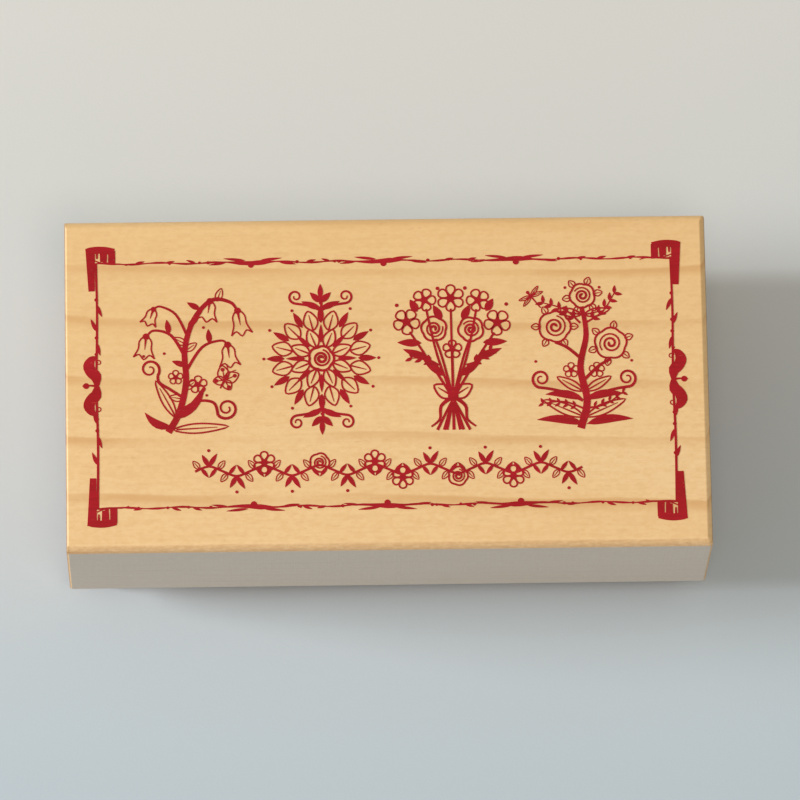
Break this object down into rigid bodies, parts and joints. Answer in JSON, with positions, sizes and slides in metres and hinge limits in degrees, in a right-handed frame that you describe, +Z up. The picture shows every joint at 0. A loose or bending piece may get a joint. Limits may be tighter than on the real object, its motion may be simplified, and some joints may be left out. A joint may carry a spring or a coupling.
{
  "type": "rubber stamp",
  "caption": "Wood-mounted craft rubber stamp: hardwood block over a foam cushion and a rubber die with a raised flower image inside a scrolled frame.",
  "frame": {"origin": "centre of the rubber's printing face, where the stamp stands on the paper", "axes": "+X along the wood's grain and the long side, +Z up out of the top of the block, +Y towards the top of the printed image"},
  "size_m": [0.075, 0.04, 0.0234],
  "materials": {
    "maple": "satin",
    "adhesive": "satin",
    "foam": "matte",
    "die_rubber": "matte",
    "index_ink": "matte"
  },
  "bodies": {
    "root": {"wood_block": "maple", "upper_adhesive": "adhesive", "foam_cushion": "foam", "lower_adhesive": "adhesive", "rubber_die": "die_rubber"}
  },
  "joints": []
}
